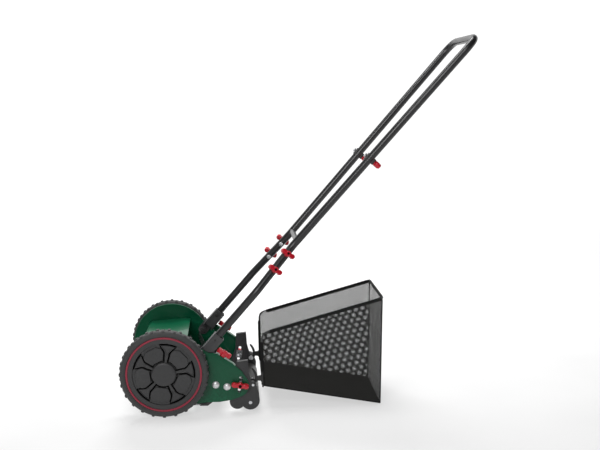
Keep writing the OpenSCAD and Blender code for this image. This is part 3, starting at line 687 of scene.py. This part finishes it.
# Places along the handle, from its pivot
FOOT, FIRST_BEND, SECOND_BEND = 24.5, 245, 406
LOWER_SEAM, CROSSBAR, UPPER_SEAM, GRIP = 297, 424, 715, 1184
# Half the distance between the tubes: at the feet, at the second bend, and what each mm above that adds
FEET_HALF, SECOND_HALF, SPREAD = 160, 106, 0.0585
TUBE_R, PLUG_R, CROSSBAR_R = 11, 9.3, 8


def half_spread(s):
    if s <= FIRST_BEND:
        return FEET_HALF
    if s <= SECOND_BEND:
        return FEET_HALF - (s - FIRST_BEND) * (FEET_HALF - SECOND_HALF) / (SECOND_BEND - FIRST_BEND)
    return SECOND_HALF + (s - SECOND_BEND) * SPREAD


def leg(g, *stations):
    """Places on the left or right tube's middle line."""
    return [PIVOT + Vector((0, g * half_spread(s) / 1000, 0)) + ALONG * (s / 1000) for s in stations]


def tubes(name, runs):
    """Each run: the points it joins, its radius and the radius of its bends."""
    bm = bmesh.new()
    for points, radius, bend in runs:
        sweep(bm, bezier_path(points, bend / 1000, 10), round_section(radius, 32), REAR)
    from_bmesh(bm, name + "_drawn", "tube", "handle", [name], 50)


middle = []
for side, g in SIDES:
    tubes("lower_tube_" + side, [(leg(g, FOOT, FIRST_BEND, LOWER_SEAM), TUBE_R - 0.05, 14),
                                 (leg(g, LOWER_SEAM - 6, 392), PLUG_R, 10)])
    middle += [(leg(g, LOWER_SEAM + 0.3, SECOND_BEND, UPPER_SEAM), TUBE_R, 16),
               (leg(g, UPPER_SEAM - 25, UPPER_SEAM + 50), PLUG_R, 10)]
middle.append((leg(-1, CROSSBAR) + leg(1, CROSSBAR), CROSSBAR_R, 10))
tubes("middle_handle", middle)
tubes("upper_handle", [(leg(1, UPPER_SEAM + 0.3, GRIP) + leg(-1, GRIP, UPPER_SEAM + 0.3), TUBE_R, 50)])
# The saddles' front sides are drawn in, so that they hug the tubes
SADDLE_FRONT = -12.5
saddles = dressed("joint_saddles", "plastic", 1.2, segments=3)
for v in saddles.data.vertices:
    n = (v.co - PIVOT).dot(REAR) * 1000
    if n < SADDLE_FRONT:
        v.co += REAR * (SADDLE_FRONT - n) / 1000 * 0.9

# ---------------------------------------------------------------- grass bag

# The wire frame's corners (x, z), at the top and bottom, front and rear, and half its width
TF, TR, BR, BF = (275, 219), (622, 318), (619, 3), (278, 62)
HALF = 136.0
# The cloth's corners and half width, just inside the wires
CLOTH_TF, CLOTH_TR = (TF[0] + 1, TF[1] - 1), (TR[0] - 0.5, TR[1] - 1)
CLOTH_BR, CLOTH_BF = (BR[0] - 0.5, BR[1] + 3), (BF[0] + 1, BF[1] + 2)
NET = HALF - 3.3


def at(corner, y, drop=0):
    return corner[0], y, corner[1] - drop


def panel(name, corners, mat, sag, direction, across=40, up=30):
    """A sheet between four corners, bowed by sag mm in a direction, with a faint ripple."""
    a, b, c, d = [Vector(p) for p in corners]
    verts, faces = [], []
    for i in range(across + 1):
        for k in range(up + 1):
            s, t = i / across, k / up
            flat = (1 - s) * (1 - t) * a + s * (1 - t) * b + s * t * c + (1 - s) * t * d
            bow = math.sin(math.pi * s) * math.sin(math.pi * t)
            ripple = 0.08 * math.sin(9 * s + 5 * t)
            verts.append(P(*(flat + Vector(direction) * (bow * (sag + ripple)))))
    for i in range(across):
        for k in range(up):
            v = i * (up + 1) + k
            faces.append((v, v + up + 1, v + up + 2, v + 1))
    return add_object(name, verts, faces, mat, "grass_bag", (), 60)


# The net's rows run along the bag's rim
RIMWAYS, ACROSS = (0.9613, 0, 0.2756), (-0.2756, 0, 0.9613)
NET_DARK, NET_LIGHT, NET_PITCH, NET_HOLE = (0.010, 0.010, 0.010), (0.024, 0.024, 0.023), 0.0019, 0.245
WEAVE_PITCH = 0.0012
net_side = cloth("net_side", NET_DARK, NET_LIGHT, NET_PITCH, NET_HOLE, (RIMWAYS, ACROSS))
net_rear = cloth("net_rear", NET_DARK, NET_LIGHT, NET_PITCH, NET_HOLE, ((0, 1, 0), (0, 0, 1)))
floor_cloth = cloth("floor_cloth", (0.0045, 0.0045, 0.004), (0.010, 0.010, 0.0088), WEAVE_PITCH, 0,
                    ((1, 0, 0), (0, 1, 0)))
hem_cloth = cloth("hem_cloth", (0.006, 0.006, 0.006), (0.015, 0.015, 0.015), WEAVE_PITCH, 0,
                  ((0.7, 0.5, 0), (0, 0.5, 0.8)))

sides = [panel("bag_net_" + side, [at(c, g * NET) for c in (CLOTH_BF, CLOTH_BR, CLOTH_TR, CLOTH_TF)],
               net_side, g * 2.0, (0, 1, 0)) for side, g in SIDES]
rear = panel("bag_net_rear", [at(CLOTH_BR, -NET), at(CLOTH_BR, NET), at(CLOTH_TR, NET), at(CLOTH_TR, -NET)],
             net_rear, 2.0, (1, 0, 0))
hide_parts("bag_mesh")
bag_bottom = panel("bag_floor_cloth", [at(CLOTH_BF, -NET), at(CLOTH_BR, -NET), at(CLOTH_BR, NET),
                                       at(CLOTH_BF, NET)], floor_cloth, -5.0, (0, 0, 1))
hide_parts("bag_floor")

# Hem: doubled tape folded round the wires at the top
bm = bmesh.new()
UP = Vector((0, 0, 1))
hem = [(2.6, 1.2), (2.2, 2.5), (0.9, 3.1), (-0.9, 3.1), (-2.2, 2.5), (-2.6, 1.2), (-2.0, -2.0), (-0.9, -7.0),
       (0.9, -7.0), (2.0, -2.0)]
hem = [(s / 1000 * 1.15, t / 1000) for s, t in hem]
hem_front = (TF[0] + 22, TF[1] + 6.3)
path = bezier_path([P(*at(hem_front, -HALF)), P(*at(TR, -HALF)), P(*at(TR, HALF)), P(*at(hem_front, HALF))],
                   0.012)
fine = []
for a, b in zip(path, path[1:]):
    k = max(1, int((b - a).length / 0.012))
    fine += [a.lerp(b, i / k) for i in range(k)]
fine.append(path[-1])
sweep(bm, fine, hem, UP)
from_bmesh(bm, "bag_hem", hem_cloth, "grass_bag", (), 40)

# Narrow tape along the other seams, and a wider one up the front wires
bm = bmesh.new()
tape = [(s * 1.4 / 1000, t / 1000) for s, t in ((-1, -1), (1, -1), (1.3, 0), (1, 1), (-1, 1), (-1.3, 0))]
for a, b in ((at(CLOTH_BR, -NET), at(CLOTH_TR, -NET, 5)), (at(CLOTH_BR, NET), at(CLOTH_TR, NET, 5)),
             (at(CLOTH_BF, -NET), at(CLOTH_BR, -NET)), (at(CLOTH_BF, NET), at(CLOTH_BR, NET)),
             (at(CLOTH_BR, -NET), at(CLOTH_BR, NET))):
    crosswise = a[1] != b[1]
    sweep(bm, [P(*a), P(*b)], tape, Vector((0.1, 0.3, 1)).normalized() if crosswise else Vector((0, 1, 0.1)))
for side, g in SIDES:
    sweep(bm, [P(BF[0] - 0.3, g * HALF, BF[1] + 6), P(TF[0] - 0.3, g * HALF, TF[1] - 26)],
          round_section(4.2, 12, 3.6 / 4.2), Vector((0, 1, 0)))
from_bmesh(bm, "bag_seam_tape", hem_cloth, "grass_bag", (), 40)

# Wire frame with bent corners
bm = bmesh.new()
wire = round_section(2.5, 14)
for side, g in SIDES:
    sweep(bm, bezier_path([P(*at(c, g * HALF)) for c in (BF, TF, TR)], 0.018, 8), wire, Vector((0, 1, 0)))
for c in (BF, TR):
    sweep(bm, [P(*at(c, -HALF)), P(*at(c, HALF))], wire, UP)
from_bmesh(bm, "bag_frame_wire", "wire", "grass_bag", ["bag_frame"], 50)
dressed("bag_hooks", "wire", 0.8, segments=3)

# ---------------------------------------------------------------- floor, light

def floor_material():
    m, nt, b = new_material("floor_card")
    co = nt.nodes.new("ShaderNodeTexCoord").outputs["Object"]
    b.inputs["Roughness"].default_value = 0.9
    b.inputs["Specular IOR Level"].default_value = 0.0
    b.inputs["Emission Color"].default_value = (1, 1, 1, 1)
    # The card glows most behind the mower
    xyz = nt.nodes.new("ShaderNodeSeparateXYZ")
    nt.links.new(co, xyz.inputs[0])
    tone = ramp(nt, noise(nt, co, 2, 2), [(0.3, (0.28, 0.28, 0.28)), (0.7, (0.31, 0.31, 0.31))])
    nt.links.new(tone, b.inputs["Base Color"])
    nt.links.new(mapped(nt, xyz.outputs["Y"], 0.5, 1.0, -0.9, 4.5), b.inputs["Emission Strength"])
    return m


# The card lies flat under and in front of the mower and curves up behind it: places (y, z) in metres
card = [(-40, 0), (5, 0), (6, 0.12), (7, 0.5), (7.8, 1.2), (8.2, 2.2), (8.3, 9)]
card_mesh = bpy.data.meshes.new("floor")
card_mesh.from_pydata([(x, y, z) for y, z in card for x in (-40, 40)], [],
                      [(2 * i, 2 * i + 1, 2 * i + 3, 2 * i + 2) for i in range(len(card) - 1)])
card_mesh.polygons.foreach_set("use_smooth", [True] * len(card_mesh.polygons))
card_mesh.materials.append(floor_material())
floor = bpy.data.objects.new("floor", card_mesh)
bpy.context.scene.collection.objects.link(floor)

world = bpy.data.worlds.new("studio")
bpy.context.scene.world = world
world.use_nodes = True
background = world.node_tree.nodes["Background"]
background.inputs["Color"].default_value = (1, 1, 1, 1)
background.inputs["Strength"].default_value = 0.05


def area_light(name, place, target, width, depth, watts):
    lamp = bpy.data.lights.new(name, "AREA")
    lamp.energy = watts
    lamp.shape = "RECTANGLE"
    lamp.size = width
    lamp.size_y = depth
    o = bpy.data.objects.new(name, lamp)
    o.location = place
    o.rotation_euler = (Vector(target) - Vector(place)).to_track_quat("-Z", "Y").to_euler()
    bpy.context.scene.collection.objects.link(o)
    return o


area_light("front", (-1.0, -3.0, 2.1), (-0.1, 0, 0.3), 1.6, 1.6, 55)
area_light("top", (-0.3, 0.3, 2.7), (-0.2, 0, 0.2), 1.8, 0.9, 50)
# The light behind the mower brightens edges but isn't mirrored in the paint
area_light("back", (-0.45, 2.0, 1.85), (-0.3, 0, 0.2), 1.3, 0.6, 75).visible_glossy = False
bpy.context.scene.view_settings.view_transform = "Standard"
